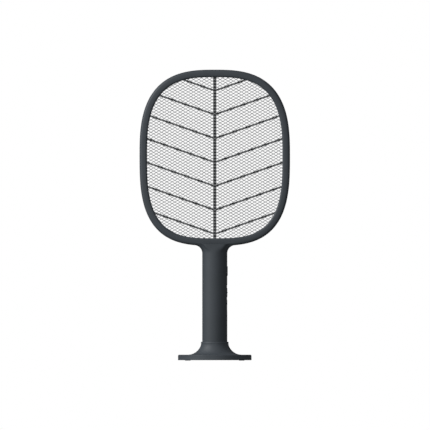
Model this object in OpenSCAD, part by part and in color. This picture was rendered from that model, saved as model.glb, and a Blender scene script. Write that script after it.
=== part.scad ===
// Rechargeable electric fly swatter standing in the socket of its round stand.
// Millimetres, +Z up, front towards -Y. The origin is the middle of the floor under the stand.

/* [Head] */
// Width of the head across its rim
head_w = 215; // [190:1:260]
// Height from the head's widest level up to its top
head_up = 122.6; // [105:0.1:150]
// Height from the head's widest level down to where its lower curve closes
head_down = 129; // [110:0.5:155]
// Squareness of the outline above the widest level, where 2 is an ellipse
square_up = 2.8; // [2:0.05:4]
// Squareness of the outline below the widest level
square_down = 3; // [2:0.05:4]
// Width of the rim, seen from the front
rim_w = 10.8; // [10:0.1:14]
// Depth of the rim from front to back
rim_d = 28; // [18:0.5:30]
// Wall of the rim
rim_wall = 1.8; // [1.4:0.1:2.2]
// Step round the inner edge of the rim's two faces
rim_step = 1.6; // [0.6:0.1:2]

/* [Nets] */
// Width of one diamond of the lattice
diamond_w = 7.6; // [5:0.1:10]
// Height of one diamond of the lattice
diamond_h = 4.43; // [3:0.01:6]
// Width of one metal strand
strand_w = 0.8; // [0.5:0.05:1.2]
// How many diamonds, each way, are modelled as one
coarse = 3; // [2:1:6]
// Thickness of a net
net_t = 0.6; // [0.4:0.1:1]

/* [Skeleton] */
// Width of the middle rib
middle_rib_w = 4.5; // [2:0.1:8]
// Thickness of a side rib
side_rib_w = 2.7; // [1:0.1:4]
// Slope of the side ribs, in degrees
side_rib_slope = 19.2; // [0:0.1:30]
// Distance from one pair of side ribs to the next
side_rib_pitch = 34.1; // [25:0.1:50]
// Height of the top pair's meeting point above the widest level
side_rib_top = 92.6; // [80:0.1:100]
// Number of pairs of side ribs
side_rib_pairs = 7; // [3:1:7]

/* [Handle] */
// Diameter of the handle
handle_d = 35.8; // [34:0.1:44]
// Wall of the handle
handle_wall = 2.2; // [1.6:0.1:2.4]
// Length of the handle, from its lower end to the head's lower curve
handle_len = 158.5; // [156:0.5:220]
// Radius of the two fillets between the handle and the head
neck_r = 11.5; // [6:0.5:20]
// Height of the sloping shoulder between the handle and the rim's face
shoulder_h = 3; // [2:0.1:8]
// How far the shoulder climbs on the rim's face
shoulder_climb = 3.3; // [1:0.1:5]
// Thickness of the end cap's disc
cap_t = 3; // [2:0.5:5]

/* [Controls] */
// Height of the press button above the handle's lower end
button_at = 122.4; // [118:0.1:132]
// Length of the press button along the handle
button_l = 13.6; // [10:0.1:16]
// Width of the press button
button_w = 9; // [6:0.1:10]
// How far the press button stands proud of the handle
button_proud = 0.6; // [0.5:0.1:1.5]
// How far the press button goes in
button_travel = 0.5; // [0.2:0.05:0.5]
// Height of the indicator lens above the handle's lower end
lens_at = 111.3; // [108:0.1:112]
// Diameter of the indicator lens
lens_d = 3; // [2:0.1:4]
// Height of the slide switch above the handle's lower end
slide_at = 91.8; // [90:0.1:94]
// Length of the slide switch's window
window_l = 21.4; // [19:0.1:23]
// Width of the slide switch's window
window_w = 6.6; // [5:0.1:7]
// Length of the slide knob
knob_l = 12.5; // [8:0.1:14]
// How far the slide knob stands proud of the handle
knob_proud = 0.12; // [0:0.01:0.5]
// How far the knob's middle ridge stands proud of the handle
ridge_proud = 0.47; // [0.3:0.01:1.5]
// Distance from one switch position to the next
slide_step = 2.5; // [1.5:0.1:2.5]
// Height of the charging socket above the handle's lower end
port_at = 69.5; // [67:0.1:71]

/* [Stand] */
// Diameter of the stand's plate
plate_d = 105; // [90:1:150]
// Thickness of the plate, with its bottom cover
plate_t = 7.8; // [7.8:0.1:12]
// Bevel round the plate's top edge
plate_bevel = 1.2; // [0.4:0.1:2]
// Wall of the stand's mouldings
stand_wall = 2; // [1.5:0.1:2]
// Height of the socket's collar above the plate
collar_h = 18.5; // [12:0.5:40]
// Wall of the socket's collar
collar_wall = 1.5; // [1.2:0.1:3]
// How far the collar flares out at its foot, at the front and the back
flare_front = 11; // [4:0.5:20]
// How far the collar flares out at its foot, at the sides
flare_side = 18.5; // [4:0.5:20]
// Clearance all round between the handle and its socket
socket_gap = 0.3; // [0.2:0.05:1]
// Height of a rubber foot below the plate
foot_h = 0.6; // [0.5:0.1:2]
// Diameter of a rubber foot
foot_d = 7.8; // [6:0.1:10]
// Distance between the left feet and the right feet
foot_span_x = 77; // [60:1:80]
// Distance between the front feet and the back feet
foot_span_y = 52; // [40:1:56]

/* [Bought parts] */
// Diameter of the lithium cell
cell_d = 18.3; // [14:0.1:18.6]
// Length of the lithium cell
cell_l = 65; // [50:1:65]
// Width of the circuit board
board_w = 25; // [20:0.5:25]
// Thickness of the circuit board
board_t = 1.6; // [1:0.1:1.6]
// Diameter of a screw's thread in the rim and the stand
screw_d = 2; // [1.8:0.1:2.2]
// Diameter of a screw's head
screw_head_d = 3.8; // [3.4:0.1:4]

/* [Hidden] */
$fn = 48;

// Small clearances
touch = 0.05;
fit = 0.1;
play = 0.2;
eps = 0.01;
big = 1000;
// Space between the stand's bottom cover and the underside of the socket
cover_space = 0.8;

// Heights along the whole object
plate_top = foot_h + plate_t;
socket_floor = foot_h + 2 * stand_wall + cover_space;
handle_z = socket_floor + fit;
head_low = handle_z + handle_len;
head_z = head_low + head_down;
collar_top = plate_top + collar_h;
button_z = handle_z + button_at;
lens_z = handle_z + lens_at;
slide_z = handle_z + slide_at;
port_z = handle_z + port_at;

// Head
facets = 96;
post_d = 5;
post_in = rim_wall + post_d / 2;
net_in = rim_wall + post_d + 0.3;
skeleton_ring_w = 2.9;
rim_half = rim_d / 2;
rim_inner = rim_half - rim_wall;
rim_screw_at = [90, 33, 147, 352, 188, 307, 233];
rim_screw_sink = 1.6;
rim_screw_seat = rim_half - rim_screw_sink;
rim_screw_tip = -4.4;
rim_screw_l = rim_screw_seat - rim_screw_tip;
lug_w = 5;
lug_drop = 7.6;
middle_lug_x = 6;

// Handle
handle_r = handle_d / 2;
bore_r = handle_r - handle_wall;
outer_lug_x = min(9, sqrt(pow(bore_r, 2) - pow(rim_inner, 2)) - lug_w / 2 - play);
cap_top = handle_z + cap_t;
spigot_h = 6;
spigot_wall = 1.6;
spigot_r = bore_r - fit;
shoulder_top = head_low + shoulder_climb;
handle_post_d = 6.5;
handle_screw_d = 2.6;
handle_screw_head_d = 4.8;
handle_screw_sink = 5;
handle_screw_seat = handle_r - handle_screw_sink;
handle_screw_tip = -4;
handle_screw_l = handle_screw_seat - handle_screw_tip;

// Lithium cell
lead_d = 1.3;
tab_t = 0.3;
tab_w = 6;
tab_l = 12;
cell_gap = 0.25;
cell_x = -(spigot_r - spigot_wall - cell_d / 2 - cell_gap);
cell_z = cap_top + fit + tab_t;
cell_top = cell_z + cell_l;
cradle_t = 1.6;
cradle_at = [14, 47];
low_post_z = cell_top + tab_t + lead_d + handle_post_d / 2 + 0.3;
high_post_z = head_low - 8;

// Circuit board and what is on it
board_front = bore_r - 7.7;
board_back = board_front - board_t;
board_z = handle_z + 60.5;
board_l = 82;
board_clip = 1.3;
board_clip_at = [20, 76];
board_top = board_z + board_l;
push_body = 6;
push_body_h = 3.4;
plunger_d = 3.4;
plunger_foot = board_front + push_body_h - 1;
plunger_top = board_front + 5;
flange_t = 0.8;
button_flange_x = bore_r - 1.3 - flange_t;
slide_body_l = 13;
slide_body_w = 5;
slide_body_h = 4.6;
lever_w = 2;
lever_top = board_front + 5.9;
knob_flange_x = bore_r - 0.7 - flange_t;
knob_block = 4;
port_l = 8.9;
port_w = 3.2;
port_depth = 7.2;
core_h = 16;
core_x = 13;
core_y = 5;
core_z = board_top - 16;
core_leg = 4;
core_window = 2.5;
cap_size = [7, 10.5, 12];

// Stand
cover_gap = 0.15;
cover_r = plate_d / 2 - stand_wall - cover_gap;
weight_t = plate_t - 2 * stand_wall - 2 * fit;
weight_r = cover_r - 2.5;
collar_r = handle_r + socket_gap + collar_wall;
stand_post_d = 6;
stand_post_r = cover_r - stand_post_d / 2 - 2;
stand_screw_l = 5.2;
// The flare starts to widen this far round from the front, in degrees
flare_from = 20;

// ---- Outline of the head ----

function half_height(t) = sin(t) >= 0 ? head_up : head_down;
function squareness(t) = sin(t) >= 0 ? square_up : square_down;
function steepness(v, half, n) = sign(v) * pow(abs(v) / half, n - 1) / half;

// A point of the head's outer outline, t degrees round from the right
function rim_point(t) =
  let (
    n = squareness(t),
    across = pow(abs(cos(t)) / (head_w / 2), n),
    along = pow(abs(sin(t)) / half_height(t), n)
  )
  pow(across + along, -1 / n) * [cos(t), sin(t)];

// The outward normal of the outline there
function rim_normal(t) =
  let (
    p = rim_point(t),
    n = squareness(t),
    g = [steepness(p.x, head_w / 2, n), steepness(p.y, half_height(t), n)]
  )
  g / norm(g);

function rim_at(t, inset) = rim_point(t) - inset * rim_normal(t) + [0, head_z];
function outline(inset) = [for (i = [0 : facets - 1]) rim_at(360 * i / facets, inset)];

// ---- Helpers ----

// A flat (x, z) shape made solid from y0 to y1
module slab(y0, y1) {
  translate([0, y1, 0]) rotate([90, 0, 0]) linear_extrude(y1 - y0) children();
}

// A flat (y, z) shape made solid from x0 to x1
module outward(x0, x1) {
  translate([x0, 0, 0]) rotate([90, 0, 90]) linear_extrude(x1 - x0) children();
}

// A round rod from y0 to y1
module rod_y(x, z, d, y0, y1) {
  translate([x, y1, z]) rotate([90, 0, 0]) cylinder(d = d, h = y1 - y0);
}

// A round rod from x0 to x1
module rod_x(y, z, d, x0, x1) {
  translate([x0, y, z]) rotate([0, 90, 0]) cylinder(d = d, h = x1 - x0);
}

// A box centred on y, from x0 to x1 and centred on z
module block(x0, x1, w, z, h, y = 0) {
  translate([x0, y - w / 2, z - h / 2]) cube([x1 - x0, w, h]);
}

// A flat shape with round ends, its length upright
module pill(w, l) {
  square([w, l - w], center = true);
  for (s = [-1, 1]) translate([0, s * (l - w) / 2]) circle(d = w);
}

// A flat rectangle with round corners
module soft_rectangle(w, h, r) {
  square([w - 2 * r, h], center = true);
  square([w, h - 2 * r], center = true);
  for (x = [-1, 1], y = [-1, 1]) translate([x * (w / 2 - r), y * (h / 2 - r)]) circle(r);
}

module mirrored_x() {
  children();
  mirror([1, 0, 0]) children();
}

// Points of a smooth curve from a to d, which b and c pull on
function curve(a, b, c, d, steps = 8) = [
  for (i = [0 : steps])
    let (u = i / steps, v = 1 - u)
      v * v * v * a + 3 * v * v * u * b + 3 * v * u * u * c + u * u * u * d
];

// An insulated lead along a list of points
module lead(path, d) {
  sides = 8;
  n = len(path);
  function along(i) =
    let (v = path[min(i + 1, n - 1)] - path[max(i - 1, 0)]) v / norm(v);
  function side(i) = let (v = cross(along(i), [0.2, 0.9, 0.1])) v / norm(v);
  rings = [
    for (i = [0 : n - 1], k = [0 : sides - 1])
      let (a = 360 * k / sides, s = side(i), u = cross(s, along(i)))
        path[i] + d / 2 * (cos(a) * s + sin(a) * u)
  ];
  skin = [
    for (i = [0 : n - 2], k = [0 : sides - 1])
      let (a = i * sides + k, b = i * sides + (k + 1) % sides)
        [a, a + sides, b + sides, b]
  ];
  start = [for (k = [0 : sides - 1]) k];
  end = [for (k = [sides - 1 : -1 : 0]) (n - 1) * sides + k];
  polyhedron(rings, concat(skin, [start, end]));
}

// A screw along +Z: the tip is at the origin and the head is on top
module screw(thread_d, head_d, length, head_h = 1.4) {
  cylinder(d = thread_d, h = length);
  difference() {
    translate([0, 0, length]) cylinder(d = head_d, h = head_h);
    for (a = [0, 90])
      translate([0, 0, length + head_h]) rotate(a)
        cube([head_d * 0.6, head_d * 0.16, head_h], center = true);
  }
}

// ---- The two shells of the swatter ----

// The fillet's circle touches the handle's side and the head's outline
function fillet_miss(t) = rim_at(t, -neck_r).x - (handle_r + neck_r);
function fillet_t(lo = 271, hi = 310, steps = 20) =
  let (mid = (lo + hi) / 2)
    steps == 0 ? mid
    : fillet_miss(mid) > 0 ? fillet_t(lo, mid, steps - 1)
    : fillet_t(mid, hi, steps - 1);

module neck_web() {
  t = fillet_t();
  centre = rim_at(t, -neck_r);
  inside = rim_at(t, rim_wall);
  difference() {
    polygon([[handle_r / 2, centre.y], centre, inside, [handle_r / 2, inside.y]]);
    translate(centre) circle(neck_r);
  }
}

// The side view of the handle and its shoulder, with half depths for the handle and the rim
module side_profile(handle_half, rim_half_depth) {
  drop = handle_half - rim_half_depth;
  slope_z = shoulder_top - shoulder_h;
  polygon([
    [-handle_half, 0], [-handle_half, slope_z], [-rim_half_depth, shoulder_top],
    [-rim_half_depth, shoulder_top + drop], [rim_half_depth, shoulder_top + drop],
    [rim_half_depth, shoulder_top], [handle_half, slope_z], [handle_half, 0]
  ]);
}

module handle_form(r, rim_half_depth, z0, z1) {
  intersection() {
    translate([0, 0, z0]) cylinder(r = r, h = z1 - z0, $fn = 96);
    outward(-handle_d, handle_d) side_profile(r, rim_half_depth);
  }
}

module skin() {
  slab(-rim_half, rim_half) polygon(outline(0));
  slab(-rim_half, rim_half) mirrored_x() neck_web();
  handle_form(handle_r, rim_half, cap_top, head_low + rim_w / 2);
}

module hollow() {
  slab(-rim_inner, rim_inner) polygon(outline(rim_wall));
  slab(-rim_d, rim_d) polygon(outline(rim_w));
  for (s = [-1, 1])
    slab(min(s * (rim_half - rim_wall / 2), s * rim_d), max(s * (rim_half - rim_wall / 2), s * rim_d))
      polygon(outline(rim_w - rim_step));
  handle_form(bore_r, rim_inner, cap_top - 1, head_low + rim_w - rim_wall);
}

module rim_posts(d, y0, y1) {
  for (t = rim_screw_at)
    let (p = rim_at(t, post_in)) rod_y(p.x, p.y, d, y0, y1);
}

module handle_posts(d, y0, y1) {
  for (z = [low_post_z, high_post_z]) rod_y(0, z, d, y0, y1);
}

// Ribs that hold the cell and the board
module cradles() {
  inner_edge = board_w / 2 - 1;
  for (z = cradle_at)
    translate([0, 0, cap_top + z]) difference() {
      cylinder(r = bore_r + eps, h = cradle_t, $fn = 96);
      translate([cell_x, 0, -1]) cylinder(d = cell_d + 2 * fit, h = cradle_t + 2);
      translate([cell_x + cell_d / 4, -cell_d / 2.5, -1]) cube([bore_r * 2, cell_d / 1.25, cradle_t + 2]);
    }
  intersection() {
    translate([0, 0, board_z]) cylinder(r = bore_r + eps, h = board_l, $fn = 96);
    for (up = board_clip_at, s = [-1, 1], x = [board_back - board_clip - fit, board_front + fit])
      block(x, x + board_clip, bore_r - inner_edge, board_z + up, 2, s * (bore_r + inner_edge) / 2);
  }
}

// Openings for the controls, through the handle's right wall
module control_openings() {
  x0 = handle_r / 2;
  x1 = handle_r + 2;
  outward(x0, x1) {
    translate([0, button_z]) pill(button_w + 2 * play, button_l + 2 * play);
    translate([0, slide_z]) soft_rectangle(window_w, window_l, 1.2);
    translate([0, port_z]) pill(port_w + 3 * play, port_l + 3 * play);
  }
  rod_x(0, lens_z, lens_d + 2 * fit, x0, x1);
}

module both_shells() {
  difference() {
    union() {
      difference() {
        skin();
        hollow();
      }
      rim_posts(post_d, -rim_inner - eps, rim_inner + eps);
      intersection() {
        handle_posts(handle_post_d, -handle_d, handle_d);
        handle_form(bore_r + eps, rim_inner, cap_top, head_low + rim_w / 2);
      }
      cradles();
    }
    control_openings();
  }
}

module front_shell() {
  color("#474d54") difference() {
    intersection() {
      both_shells();
      translate([-big, -2 * big, -big]) cube(2 * big);
    }
    rim_posts(screw_d, rim_screw_tip - fit, 1);
    handle_posts(handle_screw_d, handle_screw_tip - fit, 1);
  }
}

module rear_shell() {
  color("#464c53") difference() {
    intersection() {
      both_shells();
      translate([-big, 0, -big]) cube(2 * big);
    }
    rim_posts(screw_d + play, -1, rim_d);
    rim_posts(screw_head_d + play, rim_screw_seat, rim_d);
    handle_posts(handle_screw_d + play, -1, handle_d);
    handle_posts(handle_screw_head_d + play, handle_screw_seat, handle_d);
  }
}

module rim_screws() {
  color("#8d9094") for (t = rim_screw_at)
    let (p = rim_at(t, post_in))
      translate([p.x, rim_screw_tip, p.y]) rotate([-90, 0, 0])
        screw(screw_d, screw_head_d, rim_screw_l);
}

module handle_screws() {
  color("#8d9094") for (z = [low_post_z, high_post_z])
    translate([0, handle_screw_tip, z]) rotate([-90, 0, 0])
      screw(handle_screw_d, handle_screw_head_d, handle_screw_l, 1.8);
}

module handle_end_cap() {
  color("#43494f") {
    translate([0, 0, handle_z]) cylinder(r = handle_r, h = cap_t, $fn = 96);
    translate([0, 0, cap_top]) difference() {
      cylinder(r = spigot_r, h = spigot_h, $fn = 96);
      translate([0, 0, -eps]) cylinder(r = spigot_r - spigot_wall, h = spigot_h + 1);
    }
  }
}

// ---- Nets and skeletons ----

// The same share of metal as the full lattice, with bigger diamonds
module lattice_holes() {
  w = diamond_w * coarse;
  h = diamond_h * coarse;
  open = 1 - strand_w * norm([diamond_w, diamond_h]) / (diamond_w * diamond_h);
  columns = ceil(head_w / w);
  rows = ceil((head_up + head_down) / h);
  for (i = [-columns : columns], j = [-rows : rows])
    if ((i + j) % 2 == 0)
      let (p = [i * w / 2, j * h / 2], t = atan2(p.y, p.x))
        if (norm(p) < norm(rim_point(t)) - rim_w - 0.35 * w)
          translate(p + [0, head_z])
            polygon(open / 2 * [[-w, 0], [0, -h], [w, 0], [0, h]]);
}

module net(y, lug_x) {
  color("#a9acae") difference() {
    slab(y - net_t / 2, y + net_t / 2) {
      polygon(outline(net_in));
      translate([lug_x - lug_w / 2, head_low + net_in - lug_drop]) square([lug_w, lug_drop + 1]);
    }
    slab(y - net_t, y + net_t) lattice_holes();
  }
}

net_y = rim_inner - net_t / 2;

module front_net() net(-net_y, outer_lug_x);
module high_voltage_net() net(0, middle_lug_x);
module rear_net() net(net_y, outer_lug_x);

module ribs() {
  reach = head_w;
  translate([-middle_rib_w / 2, head_z - head_down]) square([middle_rib_w, head_up + head_down]);
  for (i = [0 : side_rib_pairs - 1])
    translate([0, head_z + side_rib_top - i * side_rib_pitch]) mirrored_x()
      rotate(side_rib_slope) translate([0, -side_rib_w / 2]) square([reach, side_rib_w]);
}

module skeleton(y0, y1) {
  color("#27292b") slab(y0, y1) {
    difference() {
      polygon(outline(net_in));
      polygon(outline(net_in + skeleton_ring_w));
    }
    intersection() {
      polygon(outline(net_in + 1));
      ribs();
    }
  }
}

module front_skeleton() skeleton(-rim_inner + net_t, -net_t / 2);
module rear_skeleton() skeleton(net_t / 2, rim_inner - net_t);

// ---- Controls ----

module press_button() {
  color("#3c4147") {
    intersection() {
      cylinder(r = handle_r + button_proud, h = big, $fn = 96);
      outward(button_flange_x, handle_d) translate([0, button_z]) pill(button_w, button_l);
    }
    outward(button_flange_x, button_flange_x + flange_t)
      translate([0, button_z]) pill(button_w + 2.4, button_l + 2.4);
    rod_x(0, button_z, 5, plunger_top + fit, button_flange_x + flange_t / 2);
  }
}

module push_switch_plunger() {
  color("#1f2123") rod_x(0, button_z, plunger_d, plunger_foot, plunger_top);
}

module push_switch_body() {
  color("#2b2d30") difference() {
    block(board_front, board_front + push_body_h, push_body, button_z, push_body);
    rod_x(0, button_z, plunger_d + fit, plunger_foot - button_travel - fit, board_front + push_body_h + 1);
  }
}

module slide_knob() {
  knob_w = window_w - 2 * play;
  color("#33373c") {
    difference() {
      union() {
        intersection() {
          cylinder(r = handle_r + knob_proud, h = big, $fn = 96);
          block(knob_flange_x, handle_d, knob_w, slide_z, knob_l);
        }
        intersection() {
          cylinder(r = handle_r + ridge_proud, h = big, $fn = 96);
          translate([0, knob_w / 2, slide_z]) rotate([90, 0, 0]) linear_extrude(knob_w)
            polygon([[bore_r, -1.4], [handle_r + 1, -0.4], [handle_r + 1, 0.4], [bore_r, 1.4]]);
        }
        block(knob_flange_x, knob_flange_x + flange_t, window_w + 1.6, slide_z,
          window_l + 2 * slide_step + 2 * play);
        block(lever_top - 1, knob_flange_x + eps, knob_block, slide_z, knob_block);
      }
      block(lever_top - 2, lever_top + fit, lever_w + 2 * touch, slide_z, lever_w + 2 * touch);
    }
  }
}

module slide_switch_lever() {
  color("#1f2123") block(board_front + slide_body_h - 1.2, lever_top, lever_w, slide_z, lever_w);
}

module slide_switch_body() {
  color("#9da0a3") difference() {
    block(board_front, board_front + slide_body_h, slide_body_w, slide_z, slide_body_l);
    block(board_front + slide_body_h - 1.4, board_front + slide_body_h + 1, lever_w + fit, slide_z,
      lever_w + 2 * slide_step + 2 * fit);
  }
}

module indicator_lens() {
  color("#d8dcdc") {
    intersection() {
      cylinder(r = handle_r, h = big, $fn = 96);
      rod_x(0, lens_z, lens_d, bore_r - 2, handle_d);
    }
    rod_x(0, lens_z, lens_d + 1.4, bore_r - 3, bore_r - 1);
  }
}

module indicator_lamp() {
  color("#e9e6c8") {
    block(board_front, board_front + 0.6, 3, lens_z, 3.4);
    block(board_front + 0.6, board_front + 1.6, 2.2, lens_z, 2.6);
  }
}

module charging_socket() {
  shell = 0.3;
  front = board_front + port_depth;
  color("#b9bbbd") {
    difference() {
      outward(board_front, front) translate([0, port_z]) pill(port_w, port_l);
      outward(board_front + 1, front + 1) translate([0, port_z])
        pill(port_w - 2 * shell, port_l - 2 * shell);
    }
    block(board_front + 1 - eps, front - 0.8, 0.7, port_z, port_l * 0.72);
  }
}

// ---- Board and its parts ----

module circuit_board() {
  color("#2f6b46") outward(board_back, board_front) difference() {
    translate([-board_w / 2, board_z]) square([board_w, board_l]);
    for (y = [-1, 1], z = [board_z + 4, board_top - 4])
      translate([y * (board_w / 2 - 3), z]) circle(d = 1.6);
  }
}

module transformer_core() {
  x = board_back - core_x / 2;
  color("#3a3a3c") translate([x, 0, core_z]) slab(-core_y / 2, core_y / 2) difference() {
    square([core_x, core_h], center = true);
    for (s = [-1, 1])
      translate([s * (core_leg + core_window) / 2, 0])
        square([core_window, core_h - core_leg], center = true);
  }
}

module transformer_winding() {
  x = board_back - core_x / 2;
  wide = core_leg + 2 * core_window - 2 * fit;
  deep = core_y + 6;
  color("#b5752e") translate([x, 0, core_z]) difference() {
    cube([wide, deep, core_h - core_leg - 2 * fit], center = true);
    cube([core_leg + 2 * touch, core_y + 2 * touch, core_h], center = true);
  }
}

module high_voltage_capacitor() {
  color("#8a4a24") translate([board_back - cap_size.x - fit, 4.5, core_z - 22])
    outward(0, cap_size.x) soft_rectangle(cap_size.y, cap_size.z, 2.5);
}

// A part with a lead out of each end, lying across the board's back
module axial_part(body_d, body_l, y, z) {
  x = board_back - fit - body_d / 2;
  span = body_l + 3;
  wire = 0.7;
  rod_y(x, z, body_d, y - body_l / 2, y + body_l / 2);
  rod_y(x, z, wire, y - span / 2 - wire / 2, y + span / 2 + wire / 2);
  for (s = [-1, 1]) rod_x(y + s * span / 2, z, wire + fit, x, board_back);
}

module rectifier_diodes() {
  color("#2a2a2c") for (i = [0 : 2]) axial_part(2.6, 5, -6.5, core_z - 14 - 5 * i);
}

module resistors() {
  color("#c9b48a") for (i = [0 : 2]) axial_part(1.9, 5, -6.5, core_z - 30 - 4 * i);
}

module power_transistor() {
  d = 4.8;
  flat = 1.3;
  x0 = board_back - 8;
  color("#242528") {
    difference() {
      rod_x(5, core_z - 34, d, x0, board_back - 2.5);
      translate([x0 - 1, 5 - d, core_z - 34 + flat]) cube([d * 2, 2 * d, d]);
    }
    for (i = [-1 : 1]) rod_x(5 + 1.27 * i, core_z - 34, 0.6, x0 + 1, board_back);
  }
}

// ---- Cell and leads ----

module lithium_cell() {
  color("#3f6fa3") {
    translate([cell_x, 0, cell_z]) cylinder(d = cell_d, h = cell_l);
  }
}

module cell_tab(z) {
  translate([cell_x - tab_l / 4, -tab_w / 2, z]) cube([tab_l, tab_w, tab_t]);
}

module cell_tabs() {
  color("#c9cbcc") {
    cell_tab(cell_z - tab_t);
    cell_tab(cell_top);
  }
}

tab_end = cell_x + tab_l * 3 / 4;

module cell_leads() {
  r = lead_d / 2;
  low = [tab_end + r, 0, cell_z - tab_t / 2];
  high = [tab_end + r, 0, cell_top + tab_t / 2];
  foot = [board_back + board_t / 2, -4, board_z - fit];
  pad = [board_back - r - fit, 5, board_z + 10];
  color("#b5312d") lead(curve(high, high + [1, 0, 1], pad - [0, 3, 3], pad), lead_d);
  color("#26282a")
    lead(concat(
      curve(low + [0, 0, r], low + [3, 0, 1], low + [3, -3, 8], [board_front, -4, cell_z + 20]),
      [foot - [0, 0, 12], foot]
    ), lead_d);
}

module net_leads() {
  lug_z = head_low + net_in - lug_drop - fit;
  x = board_back + board_t / 2;
  start_z = board_top + fit;
  color("#b5312d")
    lead(curve([x, 0, start_z], [x, 0, start_z + 6], [middle_lug_x, 0, lug_z - 6],
      [middle_lug_x, 0, lug_z]), lead_d);
  color("#26282a") for (s = [-1, 1])
    lead(curve([x, 5 * s, start_z], [x, 5 * s, start_z + 6], [outer_lug_x, s * net_y, lug_z - 6],
      [outer_lug_x, s * net_y, lug_z]), lead_d);
}

// ---- Stand ----

// How far the flare spreads at its foot, a degrees round from the right
function flare_spread(a) =
  let (
    from_front = 90 - min(abs(a % 180), 180 - abs(a % 180)),
    u = max(0, (from_front - flare_from) / (90 - flare_from)),
    share = u * u * (3 - 2 * u)
  )
  flare_front + (flare_side - flare_front) * share;

// The radius of the flare's skin at a height above the plate: a quarter of an ellipse
function flare_r(a, h) =
  collar_r + flare_spread(a) * (1 - sqrt(1 - pow(1 - h / collar_h, 2)));

// The flared tower from the plate's top up to the collar's top, made smaller all round by inset
module flare(inset) {
  around = 72;
  up = 10;
  root = 1;
  points = [
    for (i = [0 : up], k = [0 : around - 1])
      let (h = collar_h * (1 - cos(90 * i / up)), a = 360 * k / around, r = flare_r(a, h) - inset)
        [r * cos(a), r * sin(a), plate_top + h - (i == 0 ? root : 0)]
  ];
  skin = [
    for (i = [0 : up - 1], k = [0 : around - 1])
      let (p = i * around + k, q = i * around + (k + 1) % around)
        [p, p + around, q + around, q]
  ];
  low = [for (k = [0 : around - 1]) k];
  high = [for (k = [around - 1 : -1 : 0]) up * around + k];
  polyhedron(points, concat(skin, [low, high]));
}

module stand_posts(d, z0, z1) {
  for (a = [0 : 90 : 270])
    rotate(a) translate([stand_post_r, 0, z0]) cylinder(d = d, h = z1 - z0);
}

module stand_shell() {
  r = plate_d / 2;
  color("#4a5056") difference() {
    union() {
      difference() {
        union() {
          rotate_extrude($fn = 96) polygon([
            [0, plate_top - stand_wall], [r - stand_wall, plate_top - stand_wall],
            [r - stand_wall, foot_h], [r, foot_h],
            [r, plate_top - plate_bevel], [r - plate_bevel, plate_top], [0, plate_top]
          ]);
          flare(0);
        }
        translate([0, 0, -stand_wall]) flare(stand_wall);
      }
      translate([0, 0, socket_floor - stand_wall])
        cylinder(r = collar_r - play, h = collar_top - eps - socket_floor + stand_wall, $fn = 96);
      stand_posts(stand_post_d, foot_h + stand_wall + fit, plate_top - stand_wall + eps);
    }
    translate([0, 0, socket_floor])
      cylinder(r = handle_r + socket_gap, h = big, $fn = 96);
    stand_posts(screw_d, foot_h, plate_top - stand_wall);
  }
}

module stand_cover() {
  color("#3f444a") difference() {
    translate([0, 0, foot_h]) cylinder(r = cover_r, h = stand_wall, $fn = 96);
    stand_posts(screw_d + play, 0, plate_top);
    stand_posts(screw_head_d + play, 0, foot_h + stand_wall / 2);
  }
}

module stand_weight() {
  color("#7d8083") difference() {
    translate([0, 0, foot_h + stand_wall + fit]) cylinder(r = weight_r, h = weight_t, $fn = 96);
    cylinder(r = collar_r + play, h = big);
    stand_posts(stand_post_d + 2 * play, 0, plate_top);
  }
}

module stand_screws() {
  head_h = stand_wall / 2 - fit;
  color("#8d9094") for (a = [0 : 90 : 270])
    rotate(a) translate([stand_post_r, 0, foot_h + stand_wall / 2 + stand_screw_l - head_h])
      rotate([180, 0, 0]) screw(screw_d, screw_head_d, stand_screw_l - head_h, head_h);
}

module stand_feet() {
  color("#232527") for (x = [-1, 1], y = [-1, 1])
    translate([x * foot_span_x / 2, y * foot_span_y / 2, 0]) cylinder(d = foot_d, h = foot_h);
}

stand_shell();
stand_cover();
stand_weight();
stand_screws();
stand_feet();
front_shell();
rear_shell();
handle_end_cap();
front_net();
high_voltage_net();
rear_net();
front_skeleton();
rear_skeleton();
rim_screws();
handle_screws();
press_button();
push_switch_plunger();
push_switch_body();
slide_knob();
slide_switch_lever();
slide_switch_body();
indicator_lens();
indicator_lamp();
charging_socket();
circuit_board();
transformer_core();
transformer_winding();
high_voltage_capacitor();
rectifier_diodes();
power_transistor();
resistors();
lithium_cell();
cell_tabs();
cell_leads();
net_leads();
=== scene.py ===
# %% [markdown]
# # A rechargeable electric fly swatter, standing in its round stand
#
# The swatter has a racket head with three metal nets, a round handle with its controls on the right
# side, and a stand that the handle's lower end drops into. The mechanical model is already made: it is
# loaded below as a fixed frame, and this notebook builds the looks round it. Every place and size comes
# from that frame, or from a named value in millimetres.

# %% Load the frame
import math

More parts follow.
